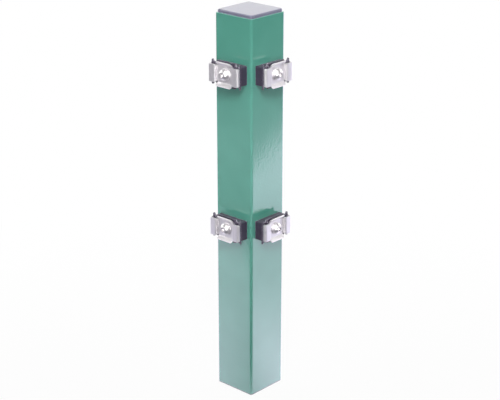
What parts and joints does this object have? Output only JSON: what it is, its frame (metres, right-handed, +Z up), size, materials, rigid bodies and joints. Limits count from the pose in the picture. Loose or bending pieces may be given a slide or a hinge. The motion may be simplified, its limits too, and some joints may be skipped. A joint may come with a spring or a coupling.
{
  "type": "corner fence post with wire clamps",
  "caption": "Square coated steel corner post with an end cap and bolted clamps on two adjacent faces that grip the upright wires of mesh fence panels.",
  "frame": {"origin": "the post's axis at the foot of the tube", "axes": "+Z up the post; the left clamps look along -Y and the right clamps along +X"},
  "size_m": [0.0807, 0.0807, 0.504],
  "materials": {
    "green_coat": "gloss powder coat",
    "cap_plastic": "satin",
    "black_plastic": "satin",
    "stainless": "satin rolled sheet",
    "bolt_steel": "polished",
    "plated_steel": "zinc plated"
  },
  "bodies": {
    "root": {"post_tube": "green_coat", "post_cap": "cap_plastic", "lower_left_block": "black_plastic", "lower_left_plate": "stainless", "lower_left_washer": "stainless", "lower_left_bolt": "bolt_steel", "lower_left_insert": "plated_steel", "lower_right_block": "black_plastic", "lower_right_plate": "stainless", "lower_right_washer": "stainless", "lower_right_bolt": "bolt_steel", "lower_right_insert": "plated_steel", "upper_left_block": "black_plastic", "upper_left_plate": "stainless", "upper_left_washer": "stainless", "upper_left_bolt": "bolt_steel", "upper_left_insert": "plated_steel", "upper_right_block": "black_plastic", "upper_right_plate": "stainless", "upper_right_washer": "stainless", "upper_right_bolt": "bolt_steel", "upper_right_insert": "plated_steel"}
  },
  "joints": []
}
